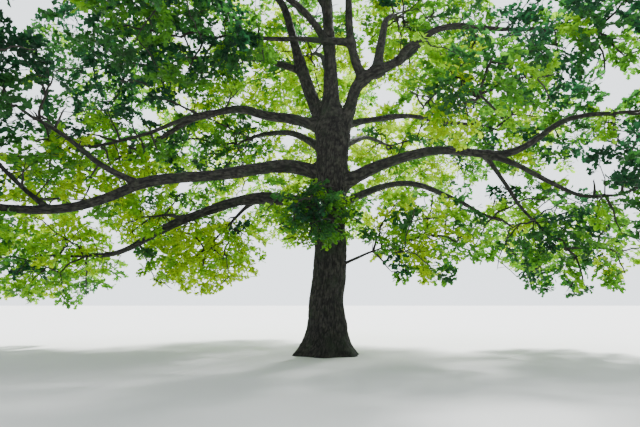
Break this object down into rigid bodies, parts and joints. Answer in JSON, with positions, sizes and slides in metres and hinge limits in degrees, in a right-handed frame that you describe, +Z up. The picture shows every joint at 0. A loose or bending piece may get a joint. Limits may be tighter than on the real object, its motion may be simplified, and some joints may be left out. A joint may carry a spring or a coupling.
{
  "type": "oak tree",
  "caption": "Mature open-grown oak: stout flared trunk, long arching boughs and a broad rounded crown of leafy masses.",
  "frame": {"origin": "middle of the flat cut under the trunk, at ground level", "axes": "+Z up, +X to the right and +Y to the back as the tree is seen from its front"},
  "size_m": [30.2513, 26.806, 20.248],
  "materials": {
    "bark": "deeply furrowed rough bark",
    "fresh_leaves": "satin leaf",
    "deep_leaves": "satin leaf",
    "golden_leaves": "satin leaf, sunlit"
  },
  "bodies": {
    "root": {"back_bough": "bark", "back_foliage": "golden_leaves", "back_left_bough": "bark", "back_left_foliage": "golden_leaves", "back_right_bough": "bark", "back_right_foliage": "golden_leaves", "front_high_bough": "bark", "front_high_foliage": "deep_leaves", "front_left_bough": "bark", "front_left_foliage": "deep_leaves", "front_right_bough": "bark", "front_right_foliage": "deep_leaves", "great_left_bough": "bark", "great_left_foliage": "golden_leaves", "great_left_fork": "bark", "great_left_fork_foliage": "deep_leaves", "great_left_riser": "bark", "great_left_riser_foliage": "fresh_leaves", "great_right_bough": "bark", "great_right_drop": "bark", "great_right_drop_foliage": "deep_leaves", "great_right_foliage": "fresh_leaves", "great_right_hanger": "bark", "great_right_hanger_foliage": "golden_leaves", "high_left_bough": "bark", "high_left_foliage": "deep_leaves", "leader": "bark", "leader_back_bough": "bark", "leader_back_foliage": "golden_leaves", "leader_foliage": "fresh_leaves", "leader_left_bough": "bark", "leader_left_foliage": "fresh_leaves", "left_ascending_foliage": "fresh_leaves", "left_ascending_limb": "bark", "left_ascending_side": "bark", "left_ascending_side_foliage": "fresh_leaves", "low_left_bough": "bark", "low_left_foliage": "golden_leaves", "low_left_fork": "bark", "low_left_fork_foliage": "golden_leaves", "low_left_spur": "bark", "low_left_spur_foliage": "golden_leaves", "low_right_bough": "bark", "low_right_foliage": "golden_leaves", "low_right_shoot": "bark", "low_right_shoot_foliage": "deep_leaves", "right_ascending_foliage": "fresh_leaves", "right_ascending_limb": "bark", "right_back_foliage": "fresh_leaves", "right_back_limb": "bark", "right_middle_bough": "bark", "right_middle_foliage": "fresh_leaves", "right_upright_foliage": "fresh_leaves", "right_upright_limb": "bark", "trunk": "bark", "trunk_tuft_foliage": "deep_leaves", "upper_left_bough": "bark", "upper_left_foliage": "fresh_leaves", "upper_left_fork": "bark", "upper_left_fork_foliage": "deep_leaves"}
  },
  "joints": []
}
